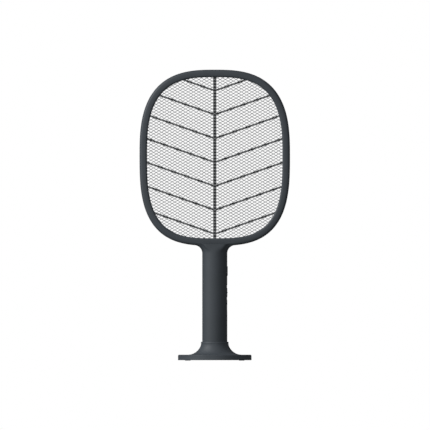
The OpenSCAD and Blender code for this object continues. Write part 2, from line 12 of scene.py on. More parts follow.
import bmesh
import bpy
import numpy as np
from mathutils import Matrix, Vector


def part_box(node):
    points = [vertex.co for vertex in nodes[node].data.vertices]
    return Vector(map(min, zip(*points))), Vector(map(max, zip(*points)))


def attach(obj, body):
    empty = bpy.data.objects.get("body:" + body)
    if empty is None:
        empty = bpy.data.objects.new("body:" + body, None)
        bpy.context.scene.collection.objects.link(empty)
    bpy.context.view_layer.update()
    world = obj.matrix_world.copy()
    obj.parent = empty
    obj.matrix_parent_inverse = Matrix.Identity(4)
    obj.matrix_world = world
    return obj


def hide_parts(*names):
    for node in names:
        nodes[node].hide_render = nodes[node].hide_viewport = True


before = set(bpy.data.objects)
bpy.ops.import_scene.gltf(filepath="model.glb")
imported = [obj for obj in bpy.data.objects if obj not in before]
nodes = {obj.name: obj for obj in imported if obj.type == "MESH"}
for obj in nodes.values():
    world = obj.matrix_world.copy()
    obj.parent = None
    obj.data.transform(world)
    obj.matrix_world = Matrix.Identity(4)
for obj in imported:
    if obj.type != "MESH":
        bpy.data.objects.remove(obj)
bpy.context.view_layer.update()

# %% [markdown]
# ## Millimetres in, metres out
#
# Blender counts in metres and a maker counts in millimetres. All the values here are millimetres, and
# MM turns them to metres where a mesh is made. The frame's boxes are read in millimetres too.

# %% Sizes that come from the frame
MM = 0.001


def node_box(name):
    """A CAD node's lowest and highest corner, in millimetres."""
    return [np.array(corner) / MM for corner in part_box(name)]


skeleton_lo, skeleton_hi = node_box("front_skeleton")
net_lo, net_hi = node_box("front_net")
cap_lo, cap_hi = node_box("handle_end_cap")
stand_lo, stand_hi = node_box("stand_shell")
button_lo, button_hi = node_box("press_button")
knob_lo, knob_hi = node_box("slide_knob")
lens_lo, lens_hi = node_box("indicator_lens")
socket_lo, socket_hi = node_box("charging_socket")

WALL = 1.8
NET_INSET = 7.1
RIM_W = 10.8
half_w = skeleton_hi[0] + NET_INSET
head_top = skeleton_hi[2] + NET_INSET
head_low = skeleton_lo[2] - NET_INSET
rim_half = WALL - net_lo[1]
handle_r = cap_hi[0]
shell_low = node_box("front_shell")[0][2]
print(f"head {2 * half_w:.1f} wide, from {head_low:.1f} to {head_top:.1f} high")
print(f"rim {2 * rim_half:.1f} deep")
print(f"handle {2 * handle_r:.1f} across, starting {shell_low:.1f} above the floor")

# %% [markdown]
# ## The outline of the head
#
# The head is neither an ellipse nor a rectangle: it is a squarish oval, a little fuller below its widest
# level than above it. A superellipse is the one formula that gives such a shape, and the same formula
# with an inset gives every line that runs parallel to the edge.

# %% The outline as a formula
HEAD_UP = 122.6
SQUARE_UP = 2.8
SQUARE_DOWN = 3.0
head_z = head_top - HEAD_UP
head_down = head_z - head_low


def outline(t, inset=0.0):
    """The outline's point (x, z), t radians round from the right, moved inwards, and its normal."""
    up = math.sin(t) >= 0
    half, n = (HEAD_UP, SQUARE_UP) if up else (head_down, SQUARE_DOWN)
    r = ((abs(math.cos(t)) / half_w) ** n + (abs(math.sin(t)) / half) ** n) ** (-1 / n)
    p = np.array([r * math.cos(t), r * math.sin(t)])
    normal = np.sign(p) * (abs(p) / [half_w, half]) ** (n - 1) / [half_w, half]
    normal /= np.linalg.norm(normal)
    return p - inset * normal + [0, head_z], normal


def inset_of(x, z):
    """How far inside the outline a point (x, z) lies, along the outline's normal."""
    edge, normal = outline(math.atan2(z - head_z, x))
    return float(np.dot(edge - [x, z], normal))


def even_steps(t0, t1, count):
    """Angles that part the outline from t0 to t1 into stretches of equal length."""
    fine = np.linspace(t0, t1, 1500)
    places = np.array([outline(t)[0] for t in fine])
    run = np.concatenate([[0], np.cumsum(np.linalg.norm(np.diff(places, axis=0), axis=1))])
    return np.interp(np.linspace(0, run[-1], count + 1), run, fine)


print(f"widest level {head_z:.1f} high, {HEAD_UP} above it and {head_down:.1f} below")

# %% [markdown]
# ## Helpers for modelling by hand
#
# Each piece starts as a primitive and is shaped with the mesh operators. An operator acts on all that is
# selected, so these helpers first clear the selection, then pick edges or faces by where they are. The
# last helper extrudes the selected edges and moves the new ones onto a formula: that is how a lofted
# moulding grows, one row at a time. Each vertex remembers its column in an attribute, which an
# extrusion copies.

# %% Selecting and shaping
def only(obj):
    """Make obj the one selected and active object."""
    if bpy.context.mode != "OBJECT":
        bpy.ops.object.mode_set(mode="OBJECT")
    bpy.ops.object.select_all(action="DESELECT")
    obj.select_set(True)
    bpy.context.view_layer.objects.active = obj
    return obj


def edit(obj, kind="FACE"):
    """Open obj in edit mode with nothing selected, and give its mesh."""
    only(obj)
    bpy.ops.object.mode_set(mode="EDIT")
    bpy.ops.mesh.select_mode(type=kind)
    bpy.ops.mesh.select_all(action="DESELECT")
    return bmesh.from_edit_mesh(obj.data)


def done(obj, name, angle=30):
    """Leave edit mode, name the object, and smooth it except at edges sharper than angle."""
    only(obj)
    bpy.ops.object.transform_apply(location=True, rotation=True, scale=True)
    bpy.ops.object.shade_smooth_by_angle(angle=math.radians(angle))
    obj.name = name
    obj.data.name = name
    return obj


def select_where(obj, kind, test):
    """Select the faces, edges or vertices of obj, in edit mode, for which test says yes."""
    mesh = bmesh.from_edit_mesh(obj.data)
    for item in {"FACE": mesh.faces, "EDGE": mesh.edges, "VERT": mesh.verts}[kind]:
        item.select_set(bool(test(item)))
    mesh.select_flush_mode()
    bmesh.update_edit_mesh(obj.data)


def finish_with(obj, kind, **settings):
    """Add a modifier with its settings and apply it."""
    only(obj)
    modifier = obj.modifiers.new(kind.title(), kind)
    for key, value in settings.items():
        setattr(modifier, key, value)
    bpy.ops.object.modifier_apply(modifier=modifier.name)
    return obj


def cut(obj, tool, operation="DIFFERENCE"):
    """Cut obj with a tool object, or join them as one solid, and throw the tool away."""
    finish_with(obj, "BOOLEAN", operation=operation, object=tool, solver="EXACT")
    bpy.data.objects.remove(tool)
    return obj


def centre(face_or_edge):
    """Middle of a face or an edge, in millimetres."""
    corners = [np.array(v.co) for v in face_or_edge.verts]
    return sum(corners) / len(corners) / MM


def columns_from(obj):
    """Number a new ring's vertices in a column attribute, and select all of the ring."""
    mesh = edit(obj, "EDGE")
    column = mesh.verts.layers.int.new("column")
    for vertex in mesh.verts:
        vertex[column] = vertex.index
    bpy.ops.mesh.select_all(action="SELECT")
    return column


def place_selected(obj, place, layer="column"):
    """Move each selected vertex to place(its number), a point in millimetres."""
    mesh = bmesh.from_edit_mesh(obj.data)
    number = mesh.verts.layers.int[layer]
    for vertex in mesh.verts:
        if vertex.select:
            vertex.co = [float(c) * MM for c in place(vertex[number])]
    bmesh.update_edit_mesh(obj.data)


def extrude_to(obj, place, layer="column"):
    """Extrude the selected edges and move the new ones onto place."""
    bpy.ops.mesh.extrude_edges_indiv()
    place_selected(obj, place, layer)


def face_outwards(obj):
    """Merge what meets, and point every face of a closed solid outwards."""
    edit(obj)
    bpy.ops.mesh.select_all(action="SELECT")
    bpy.ops.mesh.remove_doubles(threshold=0.0005 * MM)
    bpy.ops.mesh.normals_make_consistent(inside=False)
    bpy.ops.object.mode_set(mode="OBJECT")
    return obj


def block(lo, hi):
    """A box between two corners given in millimetres: the start of many small pieces."""
    lo, hi = np.array(lo, float), np.array(hi, float)
    bpy.ops.object.select_all(action="DESELECT")
    bpy.ops.mesh.primitive_cube_add(size=MM, location=(lo + hi) / 2 * MM, scale=hi - lo)
    obj = bpy.context.object
    bpy.ops.object.transform_apply(location=True, rotation=True, scale=True)
    return obj


def rod(middle, axis, radius, length, vertices=48):
    """A round rod about a point, along X, Y or Z, in millimetres."""
    turn = {"X": (0, math.pi / 2, 0), "Y": (math.pi / 2, 0, 0), "Z": (0, 0, 0)}[axis]
    bpy.ops.object.select_all(action="DESELECT")
    bpy.ops.mesh.primitive_cylinder_add(vertices=vertices, radius=radius * MM, depth=length * MM,
                                        location=np.array(middle) * MM, rotation=turn)
    obj = bpy.context.object
    bpy.ops.object.transform_apply(location=True, rotation=True, scale=True)
    return obj


def round_edges(obj, test, radius, segments=3):
    """Bevel the edges of obj that test picks."""
    edit(obj, "EDGE")
    select_where(obj, "EDGE", test)
    bpy.ops.mesh.bevel(offset=radius * MM, segments=segments, affect="EDGES", clamp_overlap=True)
    bpy.ops.object.mode_set(mode="OBJECT")
    return obj


def runs_along(edge, axis):
    """Whether an edge lies along the axis 0, 1 or 2."""
    along = edge.verts[1].co - edge.verts[0].co
    return abs(along[axis]) > 0.99 * along.length


print("helpers for modelling are ready")

# %% [markdown]
# ## Materials: what they share
#
# Colours are given as sRGB hex values, as a paint chart gives them, and one function makes them linear.
# A moulded or worked surface is never quite one colour, so each material varies its colour a little
# from place to place, and carries its grain as a bump at a real size in millimetres. All patterns read
# Object coordinates, which are metres here, so a pattern of s millimetres has the scale 1000 / s.

# %% Colour and node helpers
def linear(hex_colour):
    """An sRGB hex colour as linear RGBA."""
    parts = [int(hex_colour[i:i + 2], 16) / 255 for i in (1, 3, 5)]
    return [c / 12.92 if c <= 0.04045 else ((c + 0.055) / 1.055) ** 2.4 for c in parts] + [1.0]


def add_node(tree, kind, inputs=(), **settings):
    """Add a node, set its properties, and fill or link its inputs."""
    node = tree.nodes.new(kind)
    for key, value in settings.items():
        setattr(node, key, value)
    for socket, value in dict(inputs).items():
        if isinstance(value, bpy.types.NodeSocket):
            tree.links.new(value, node.inputs[socket])
        else:
            node.inputs[socket].default_value = value
    return node


def surface(name, colours, shade_mm, grain_mm, depth_mm, rough, **shader):
    """A solid surface: two close colours in soft patches, an even grain, and its shader's values.

    rough holds the lowest and the highest roughness, which the patches swing between."""
    material = bpy.data.materials.new(name)
    material.use_nodes = True
    tree = material.node_tree
    principled = tree.nodes["Principled BSDF"]
    place = add_node(tree, "ShaderNodeTexCoord").outputs["Object"]
    patches = add_node(tree, "ShaderNodeTexNoise", {
        "Vector": place, "Scale": 1 / (shade_mm * MM), "Detail": 4.0, "Roughness": 0.6})
    tint = add_node(tree, "ShaderNodeValToRGB", {"Fac": patches.outputs["Fac"]})
    for stop, position, colour in zip(tint.color_ramp.elements, (0.35, 0.65), colours):
        stop.position = position
        stop.color = linear(colour)
    tree.links.new(tint.outputs["Color"], principled.inputs["Base Color"])
    swing = add_node(tree, "ShaderNodeMapRange", {
        "Value": patches.outputs["Fac"], "From Min": 0.3, "From Max": 0.7,
        "To Min": rough[0], "To Max": rough[1]})
    tree.links.new(swing.outputs["Result"], principled.inputs["Roughness"])
    grain = add_node(tree, "ShaderNodeTexNoise", {
        "Vector": place, "Scale": 1 / (grain_mm * MM), "Detail": 2.0, "Roughness": 0.5})
    bump = add_node(tree, "ShaderNodeBump", {
        "Height": grain.outputs["Fac"], "Strength": 1.0, "Distance": depth_mm * MM})
    tree.links.new(bump.outputs["Normal"], principled.inputs["Normal"])
    for socket, value in shader.items():
        principled.inputs[socket.replace("_", " ")].default_value = value
    return material


def wear(obj, material):
    """Put a material on every slot of a piece."""
    if not obj.data.materials:
        obj.data.materials.append(material)
    for slot in obj.material_slots:
        slot.material = material


def hand_over(piece, material, body, node_name):
    """Give a finished piece its material, its body and its slot, and let it stand for a node."""
    wear(piece, material)
    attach(piece, body)
    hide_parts(node_name)
    print(piece.name, len(piece.data.polygons), "faces")


# %% [markdown]
# ## Finishes of the parts that show
#
# The casings are injection-moulded ABS with a fine spark-eroded texture. The texture comes from the mould,
# with grains near 0.1 mm. It takes the gloss away, so light falls softly over the round handle. It is
# drawn at about 0.5 mm, coarser than it is, because it wouldn't show at its own size.

# %% Moulded plastics
ABS_IOR = 1.54
shell_abs = surface("spark-eroded ABS, blue-grey", ("#434a50", "#484f56"), 40, 0.5, 0.012,
                    (0.50, 0.58), IOR=ABS_IOR)
# The stand takes the casings' ABS drawn about a tenth lighter: painted light, standing in for the light the
# stand catches from the white floor below.
stand_abs_painted_lighter = surface("spark-eroded ABS, blue-grey, stand", ("#4a5158", "#50575e"), 30, 0.5, 0.012,
                    (0.50, 0.58), IOR=ABS_IOR)
cap_abs = surface("spark-eroded ABS, end cap", ("#40464c", "#454b52"), 20, 0.5, 0.012,
                  (0.50, 0.60), IOR=ABS_IOR)
control_abs = surface("fine-textured ABS, controls", ("#393f45", "#3e444b"), 8, 0.35, 0.008,
                      (0.42, 0.50), IOR=ABS_IOR)
skeleton_abs = surface("black ABS, as moulded", ("#1f2123", "#26282a"), 25, 0.8, 0.006,
                       (0.38, 0.50), IOR=ABS_IOR)
print("five moulded plastics")

# %% [markdown]
# The nets are stamped and stretched aluminium: bright, but dulled by their mill finish, with short drawn
# marks. The screws are zinc-plated steel, and the stand's ballast is plain cast iron, dull and pitted.

# %% Metals
net_metal = surface("expanded aluminium, mill finish", ("#9c9fa1", "#b2b5b7"), 12, 0.6, 0.010,
                    (0.36, 0.50), Metallic=1.0)
screw_steel = surface("zinc-plated steel", ("#8e9195", "#a3a6aa"), 2.5, 0.3, 0.004,
                      (0.26, 0.38), Metallic=1.0)
weight_iron = surface("cast iron, as cast", ("#4a4746", "#5c5856"), 9, 1.4, 0.15,
                      (0.55, 0.75), Metallic=1.0)
tab_nickel = surface("nickel strip, rolled", ("#a8a49c", "#bdb9b0"), 4, 0.4, 0.005,
                     (0.25, 0.35), Metallic=1.0)
switch_steel = surface("tinned steel, stamped", ("#9a9da0", "#b0b3b6"), 3, 0.4, 0.005,
                       (0.30, 0.42), Metallic=1.0)
print("five metals")

# %% [markdown]
# Inside the handle are bought parts. Each has the finish it comes with: a ferrite core like dark
# unglazed pottery, enamelled copper wire, a shrunk sleeve on the cell, green solder mask on the board.

# %% Finishes of the bought parts
foot_rubber = surface("silicone rubber foot", ("#55585a", "#626567"), 4, 0.4, 0.010, (0.60, 0.75), IOR=1.41)
cell_sleeve = surface("shrunk PVC sleeve", ("#3f6f9c", "#4678a6"), 14, 1.2, 0.010, (0.28, 0.40), IOR=1.53)
lead_silicone = surface("silicone lead insulation", ("#a12a26", "#b33430"), 3, 0.5, 0.004, (0.45, 0.55),
                        IOR=1.41)
board_mask = surface("green solder mask on laminate", ("#1f5a38", "#2a6a45"), 5, 0.8, 0.006, (0.25, 0.40),
                     IOR=1.55)
core_ferrite = surface("sintered ferrite", ("#2f3032", "#3c3d40"), 3, 0.3, 0.015, (0.65, 0.80), IOR=2.2)
film_epoxy = surface("epoxy-dipped film capacitor", ("#8c3a22", "#9c452b"), 4, 0.9, 0.030, (0.22, 0.34),
                     IOR=1.55)
moulded_epoxy = surface("black moulding epoxy", ("#202123", "#292a2c"), 2, 0.25, 0.010, (0.50, 0.62),
                        IOR=1.55)
resistor_lacquer = surface("lacquer on a resistor", ("#c9b183", "#d8c296"), 1.5, 0.3, 0.006, (0.30, 0.42),
                           IOR=1.50)
lamp_resin = surface("cast lamp resin, pale yellow", ("#e6dfb8", "#efe9c6"), 1, 0.2, 0.002, (0.15, 0.25),
                     IOR=1.54)
lens_acrylic = surface("acrylic light guide, frosted", ("#d3d8d9", "#dfe3e4"), 1.5, 0.2, 0.004,
                       (0.18, 0.30), IOR=1.49, Transmission_Weight=0.35)
print("ten finishes of bought parts")


# %% [markdown]
# Two finishes have a pattern of their own. The transformer's winding shows its turns of enamelled wire
# side by side, about 0.25 mm apart, which a wave texture draws as ridges across the coil. The stand's
# bottom cover is moulded like the casings but with a coarser, leathery texture, because it isn't seen.

# %% Wound copper and the bottom cover
def wound_copper():
    """Enamelled wire laid turn by turn, as ridges along Z."""
    turn_mm = 0.5
    material = surface("enamelled copper winding", ("#8a4a24", "#a35a2e"), 2, 0.4, 0.004, (0.25, 0.35),
                       Metallic=1.0)
    tree = material.node_tree
    principled = tree.nodes["Principled BSDF"]
    place = add_node(tree, "ShaderNodeTexCoord").outputs["Object"]
    turns = add_node(tree, "ShaderNodeTexWave", {
        "Vector": place, "Scale": math.pi / 10 / (turn_mm * MM), "Distortion": 0.0},
        wave_type="BANDS", bands_direction="Z", wave_profile="SIN")
    ridge = add_node(tree, "ShaderNodeBump", {
        "Height": turns.outputs["Fac"], "Strength": 1.0, "Distance": 0.1 * MM})
    tree.links.new(ridge.outputs["Normal"], principled.inputs["Normal"])
    return material


winding_copper = wound_copper()
cover_abs = surface("leather-grained ABS, bottom cover", ("#3b4147", "#434950"), 12, 1.2, 0.05,
                    (0.55, 0.66), IOR=ABS_IOR)
print("winding and cover")

# %% [markdown]
# ## The front shell: head, neck and handle in one moulding
#
# The casing is two mouldings, front and rear, that meet at the middle of the depth. The real mould is cut
# from one flowing surface: a rim whose round outer side runs into two fillets at the neck, and a flattened
# neck that ends in a small ledge on the rim's flat face.
#
# It could be a ring and a tube joined by a boolean, but that leaves a hard line at the neck. So the
# surface is grown instead. A ring of vertices goes round the head at the crease's line. Its edges are
# extruded inwards over the face to the opening, and outwards down the side to the parting line, except
# across the neck. The open edge that is left there is then extruded along smooth curves into the
# handle's half circle, and straight down.

# %% The rim's section and the neck's fillet
NECK_R = 11.5
FACE_TOP = 5.8
ROUND_DEPTH = 9.0
SECTION_SQUARE = 3.4
GROOVE = 0.25
GROOVE_DEEP = 0.3


def section(angle):
    """The rim's outer side as (inset, depth): a quarter of a superellipse, angle in degrees."""
    a = math.radians(angle)
    return (FACE_TOP * (1 - math.cos(a) ** (2 / SECTION_SQUARE)),
            rim_half - ROUND_DEPTH * (1 - math.sin(a) ** (2 / SECTION_SQUARE)))


# From the parting line to the crease, with a small groove at the parting line
outer_rows = [(GROOVE, 0), (0, GROOVE_DEEP)] + [section(a) for a in (0, 8, 16, 25, 35, 45, 55, 65, 75)]
# From the crease over the face, and down the bevelled step to the opening
inner_rows = [section(90), (7.6, rim_half - 0.03), (8.9, rim_half - 0.10), (9.25, rim_half - 0.28),
              (9.7, rim_half - 0.70), (10.15, rim_half - 1.12), (10.5, rim_half - 1.42),
              (RIM_W, rim_half - 1.6), (RIM_W, rim_half - WALL)]
crease = len(outer_rows) - 1

low, high = math.radians(271), math.radians(310)
for _ in range(30):
    fillet_t = (low + high) / 2
    if outline(fillet_t, -NECK_R)[0][0] < handle_r + NECK_R:
        low = fillet_t
    else:
        high = fillet_t
(_, fillet_z), fillet_normal = outline(fillet_t, -NECK_R)
tangent = np.array([-fillet_normal[1], fillet_normal[0]])
print(f"the fillets start {fillet_z:.1f} high, {outline(fillet_t)[0][0]:.1f} from the middle")

# %% [markdown]
# The rows follow the outline, so they need places on it. Equal steps of angle would crowd where the
# outline turns and thin out on its flat sides. The stations are therefore spaced by length, with a second,
# finer set across the neck. From them a circle is placed on the crease and extruded over the face.

# %% The ring of stations round the head
ROUND_STEPS = 168
NECK_STEPS = 28
round_head = even_steps(fillet_t, math.radians(540) - fillet_t + math.radians(360), ROUND_STEPS)
across_neck = even_steps(math.radians(540) - fillet_t, fillet_t, NECK_STEPS)
stations = list(round_head[:-1]) + list(across_neck[:-1])


def on_rim(column, row):
    """A point of the front casing at a station round the head, for a row (inset, depth)."""
    (x, z), _ = outline(stations[column], row[0])
    return x, -row[1], z


bpy.ops.object.select_all(action="DESELECT")
bpy.ops.mesh.primitive_circle_add(vertices=len(stations), radius=half_w * MM)
front_shell = bpy.context.object
columns_from(front_shell)
place_selected(front_shell, lambda c: on_rim(c, outer_rows[crease]))
for row in inner_rows:
    extrude_to(front_shell, lambda c: on_rim(c, row))
print(len(stations), "stations,", len(inner_rows), "rows from the crease to the opening")


# %% [markdown]
# The same ring of edges now grows the other way, down the rim's round side. A full ring would close off
# the head from the handle, so only the edges outside the neck are picked first. A vertex on the crease is
# found by its place, because an extrusion changes the order of the vertices.

# %% Down the side to the parting line, except across the neck
def at_row(vertex, column_layer, row):
    """Whether a vertex lies on a row of its own column."""
    wanted = np.array(on_rim(vertex[column_layer], row)) * MM
    return np.linalg.norm(np.array(vertex.co) - wanted) < 0.001 * MM


mesh = bmesh.from_edit_mesh(front_shell.data)
column = mesh.verts.layers.int["column"]
on_crease = {v.index for v in mesh.verts if at_row(v, column, outer_rows[crease])}
select_where(front_shell, "EDGE", lambda e: all(
    v.index in on_crease and v[column] <= ROUND_STEPS for v in e.verts))
for row in reversed(outer_rows[:crease]):
    extrude_to(front_shell, lambda c: on_rim(c, row))
print("rim closed down to the parting line")

# %% [markdown]
# The open edge at the neck runs up the right fillet's end from the parting line to the crease, along the
# crease, and down the left one. Its vertices are numbered in a second attribute, which the neck's rows
# then follow.

# %% Number the neck's open edge
LAST = 2 * crease + NECK_STEPS


def edge_place(number):
    """Station and row of a vertex of the neck's open edge, counted from the right parting line."""
    if number <= crease:
        return 0, outer_rows[number]
    if number <= crease + NECK_STEPS:
        return (len(stations) - (number - crease)) % len(stations), outer_rows[crease]
    return ROUND_STEPS, outer_rows[LAST - number]


mesh = bmesh.from_edit_mesh(front_shell.data)
number_layer = mesh.verts.layers.int.new("neck")
column = mesh.verts.layers.int["column"]
for number in range(LAST + 1):
    station, row = edge_place(number)
    for vertex in mesh.verts:
        if vertex[column] == station and at_row(vertex, column, row):
            vertex[number_layer] = number + 1
select_where(front_shell, "EDGE", lambda e: e.is_boundary and all(v[number_layer] for v in e.verts)
             and abs(e.verts[0][number_layer] - e.verts[1][number_layer]) == 1)
print(sum(e.select for e in mesh.edges), "edges round the neck")

# %% [markdown]
# Each of the neck's lines is a cubic curve. At the sides it leaves along the head's outline, and with
# this pull it is, within a hair, the arc of the fillet. At the front the neck ends in a small ledge that
# stands on the rim's face, and the line leaves its crest straight down. In between, the direction turns
# from one to the other. All the lines arrive straight down on the handle.

# %% Grow the neck and the handle
LEDGE = 2.9
LEDGE_FLAT = 12.0
LEDGE_END = 25.0
LEDGE_DROP = 0.6
LEDGE_FOOT = 0.2
FRONT_LEAN = 0.07
FIRST_STEP = 0.06
NECK_ROWS = 10
pull = 4 * math.tan(math.acos(tangent[1]) / 4) * NECK_R
first_angle = math.asin(GROOVE_DEEP / handle_r)


def on_handle(number, z, shrink=0.0):
    """A point of the handle's front half, numbered from the right parting line."""
    if number in (0, LAST):
        return np.array([(handle_r - GROOVE - shrink) * (1 if number == 0 else -1), 0, z])
    share = (number - 1) / (LAST - 2)
    a = first_angle + share * (math.pi - 2 * first_angle)
    return np.array([(handle_r - shrink) * math.cos(a), -(handle_r - shrink) * math.sin(a), z])


def ledge_share(number):
    """How much of the ledge a line has: all of it at the front, none at the fillets."""
    if not crease < number < LAST - crease:
        return 0
    x = on_rim(*edge_place(number))[0]
    u = min(1.0, max(0.0, (LEDGE_END - abs(x)) / (LEDGE_END - LEDGE_FLAT)))
    return u * u * (3 - 2 * u)


def neck_point(number, u):
    """A point of a line of the neck, from u = 0 at the ledge to u = 1 on the handle."""
    share = ledge_share(number)
    rim = np.array(on_rim(*edge_place(number)))
    start = rim + share * np.array([0, -LEDGE, -LEDGE_DROP])
    end = on_handle(number, fillet_z)
    side = np.array([math.copysign(tangent[0], rim[0]), 0, tangent[1]])
    leave = side * (1 - share) + np.array([0, FRONT_LEAN, 1]) * share
    leave *= -pull / np.linalg.norm(leave)
    arrive = np.array([0, 0, -pull])
    u = FIRST_STEP * (1 - share) * (1 - u) + u
    return ((2 * u**3 - 3 * u**2 + 1) * start + (u**3 - 2 * u**2 + u) * leave
            + (3 * u**2 - 2 * u**3) * end + (u**3 - u**2) * arrive)


def ledge_foot(number):
    """Where a line leaves the rim's face, just above the ledge."""
    share = ledge_share(number)
    rim = np.array(on_rim(*edge_place(number)))
    half_way = (rim + neck_point(number, 0)) / 2
    foot = share * (rim - [0, 0, LEDGE_FOOT]) + (1 - share) * half_way
    foot[1] = rim[1]
    return foot


extrude_to(front_shell, lambda n: ledge_foot(n - 1), "neck")
for step in range(NECK_ROWS + 1):
    extrude_to(front_shell, lambda n: neck_point(n - 1, step / NECK_ROWS), "neck")
HANDLE_ROWS = 14
for z in np.linspace(fillet_z, shell_low + 0.3, HANDLE_ROWS + 1)[1:]:
    extrude_to(front_shell, lambda n: on_handle(n - 1, z), "neck")
extrude_to(front_shell, lambda n: on_handle(n - 1, shell_low, GROOVE), "neck")
print(f"neck from {fillet_z:.1f} up to {head_low + outer_rows[crease][0]:.1f}")

# %% [markdown]
# The sheet now gets its wall. The faces have to look outwards first, because Solidify grows the wall on
# their other side. Behind the face the wall is then pressed flat, because the front net lies against it.

# %% Give the shell its wall
bpy.ops.mesh.select_all(action="SELECT")
bpy.ops.mesh.remove_doubles(threshold=0.0005 * MM)
bpy.ops.mesh.normals_make_consistent(inside=False)
mesh = bmesh.from_edit_mesh(front_shell.data)
front_face = min(mesh.faces, key=lambda f: f.calc_center_median().y)
if front_face.normal.y > 0:
    bpy.ops.mesh.flip_normals()
bpy.ops.object.mode_set(mode="OBJECT")
finish_with(front_shell, "SOLIDIFY", thickness=WALL * MM, offset=-1, use_even_offset=True)
edit(front_shell, "VERT")
mesh = bmesh.from_edit_mesh(front_shell.data)
net_plane = -(rim_half - WALL)
FLAT_FROM, FLAT_TO, FLAT_DEEP, ABOVE_NECK = 4.5, 12, 3.5, 5
for vertex in mesh.verts:
    x, y, z = np.array(vertex.co) / MM
    behind_face = FLAT_FROM < inset_of(x, z) < FLAT_TO and net_plane < y < net_plane + FLAT_DEEP
    if z > head_low + ABOVE_NECK and behind_face:
        vertex.co.y = net_plane * MM
bmesh.update_edit_mesh(front_shell.data)
bpy.ops.object.mode_set(mode="OBJECT")
face_outwards(front_shell)
print(len(front_shell.data.polygons), "faces in the front shell")

# %% [markdown]
# ## Openings for the controls
#
# The press button, the indicator, the slide switch and the charging socket all come through the right
# side, right on the parting line, so each shell has half of every opening. A mould makes such holes with
# a core, and the core is what is modelled here: a block with its long edges rounded, flared a little at
# its outer end so that the hole gets a soft lip.

# %% Cores for the openings
LIP = 0.35
LIP_DEEP = 1.0
CORE_FROM = handle_r - 6
LIP_FROM = handle_r - LIP_DEEP
CORE_TO = handle_r + 0.8


def core(z, width, length, corner):
    """A core along X for a hole of that width and length, centred on the parting line."""
    obj = block((CORE_FROM, -width / 2, z - length / 2), (LIP_FROM, width / 2, z + length / 2))
    round_edges(obj, lambda e: runs_along(e, 0), corner, 6)
    edit(obj)
    select_where(obj, "FACE", lambda f: f.normal.x > 0.9)
    bpy.ops.mesh.extrude_region_move(TRANSFORM_OT_translate={"value": ((CORE_TO - LIP_FROM) * MM, 0, 0)})
    wider = [1, (width + 2 * LIP) / width, (length + 2 * LIP) / length]
    bpy.ops.transform.resize(value=wider, center_override=((CORE_TO) * MM, 0, z * MM))
    bpy.ops.object.mode_set(mode="OBJECT")
    return obj


PLAY = 0.2
button_z = (button_lo[2] + button_hi[2]) / 2
slide_z = (knob_lo[2] + knob_hi[2]) / 2
lens_z = (lens_lo[2] + lens_hi[2]) / 2
port_z = (socket_lo[2] + socket_hi[2]) / 2
BUTTON_W, BUTTON_L = 9.0, 13.6
WINDOW_W, WINDOW_L = 6.6, 21.4
port_w = socket_hi[1] - socket_lo[1] + 3 * PLAY
port_l = socket_hi[2] - socket_lo[2] + 3 * PLAY
LENS_D = 3.0
cut(front_shell, core(button_z, BUTTON_W + 2 * PLAY, BUTTON_L + 2 * PLAY, BUTTON_W / 2 + PLAY - 0.02))
cut(front_shell, core(slide_z, WINDOW_W, WINDOW_L, 1.2))
cut(front_shell, core(port_z, port_w, port_l, port_w / 2 - 0.02))
cut(front_shell, rod((handle_r, 0, lens_z), "X", LENS_D / 2 + 0.1, 8))
print(f"button at {button_z:.1f}, lens at {lens_z:.1f}, slide at {slide_z:.1f}, port at {port_z:.1f}")

# %% [markdown]
# ## The rear shell
#
# The rear shell is the front one's mirror image, with the screws coming in from behind. Seven small
# screws sit in shallow recesses round the rim, and two larger ones at the bottom of deep round wells in
# the handle. Mirroring turns a shape inside out, so its faces are turned back before it is cut.

# %% Mirror the shell and sink the screw wells
only(front_shell)
bpy.ops.object.duplicate()
rear_shell = bpy.context.object
bpy.ops.transform.mirror(orient_type="GLOBAL", constraint_axis=(False, True, False))
bpy.ops.object.transform_apply(location=True, rotation=True, scale=True)
face_outwards(rear_shell)

POST_INSET = 4.3
RIM_SCREW_ANGLES = (90, 33, 147, 352, 188, 307, 233)
RIM_HEAD_D = 3.8
RIM_HEAD_H = 1.4
RIM_THREAD_D = 2.0
RIM_SINK = 1.6
rim_screw_places = [outline(math.radians(a), POST_INSET)[0] for a in RIM_SCREW_ANGLES]
handle_screws_lo, handle_screws_hi = node_box("handle_screws")
HANDLE_HEAD_D = 4.8
HANDLE_HEAD_H = 1.8
HANDLE_THREAD_D = 2.6
handle_screw_heights = [handle_screws_lo[2] + HANDLE_HEAD_D / 2, handle_screws_hi[2] - HANDLE_HEAD_D / 2]
handle_seat = handle_screws_hi[1] - HANDLE_HEAD_H
WELL_WALL = 0.75

for z in handle_screw_heights:
    well_r = HANDLE_HEAD_D / 2 + PLAY / 2
    tube_end = handle_r - 1.0
    cut(rear_shell, rod((0, (tube_end + handle_seat - 2) / 2, z), "Y", well_r + WELL_WALL,
                        tube_end - handle_seat + 2, 32), "UNION")
    cut(rear_shell, rod((0, (handle_r + 2 + handle_seat) / 2, z), "Y", well_r,
                        handle_r + 2 - handle_seat, 32))
for x, z in rim_screw_places:
    cut(rear_shell, rod((x, rim_half, z), "Y", RIM_HEAD_D / 2 + PLAY / 2, 2 * RIM_SINK, 32))
print(len(rim_screw_places), "recesses in the rim, 2 wells in the handle")

# %% [markdown]
# Both shells are now whole. Smoothing by angle keeps the soft sides soft, and leaves the groove, the
# openings and the ledge crisp. Then each takes its material, rides with the swatter, and stands for its
# CAD node.

# %% Finish the two shells
for shell, node_name in ((front_shell, "front_shell"), (rear_shell, "rear_shell")):
    done(shell, node_name + "_moulding", 28)
    hand_over(shell, shell_abs, "swatter", node_name)

